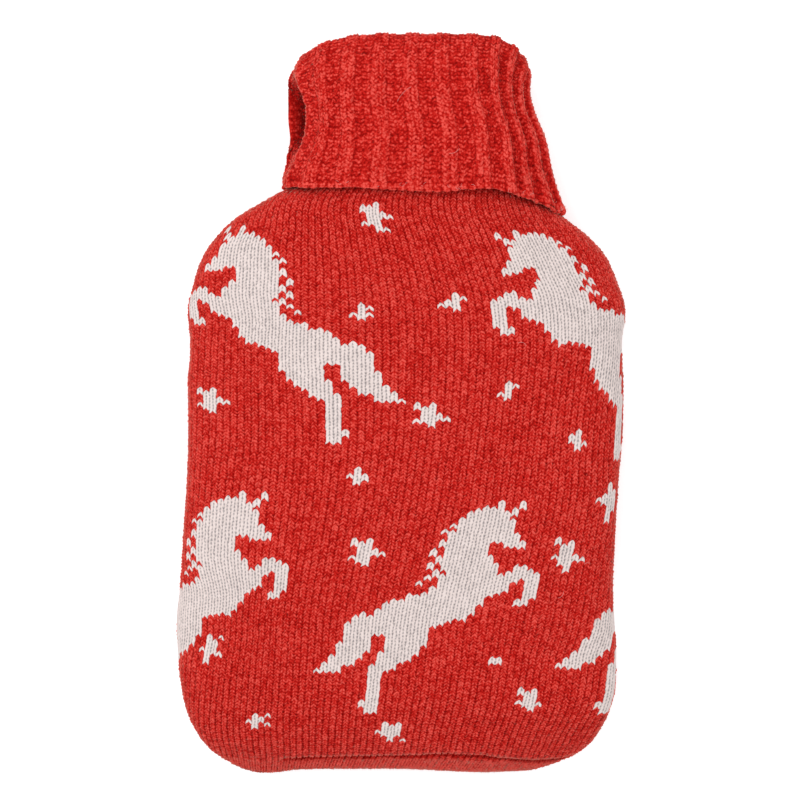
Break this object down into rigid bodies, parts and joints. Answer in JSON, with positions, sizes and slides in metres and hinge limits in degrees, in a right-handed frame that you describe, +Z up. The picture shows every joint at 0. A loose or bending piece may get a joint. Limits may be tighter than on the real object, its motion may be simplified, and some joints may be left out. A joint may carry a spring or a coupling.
{
  "type": "hot water bottle cover",
  "caption": "Knitted cover for a hot water bottle: a hollow two-colour bag with rounded corners, closed at the bottom, with a ribbed roll neck folded down over its shoulders.",
  "frame": {"origin": "on the surface it lies on, under the middle of the whole cover", "axes": "+Z up, out of the front; +Y along the cover towards its neck; +X to the right as the front is seen"},
  "size_m": [0.2141, 0.3538, 0.0459],
  "materials": {
    "red_chenille": "soft brushed chenille knit, velvety, no gloss",
    "cream_yarn": "smooth matt yarn, knitted in for the motifs"
  },
  "bodies": {
    "root": {"body": "red_chenille", "collar": "red_chenille"}
  },
  "joints": []
}
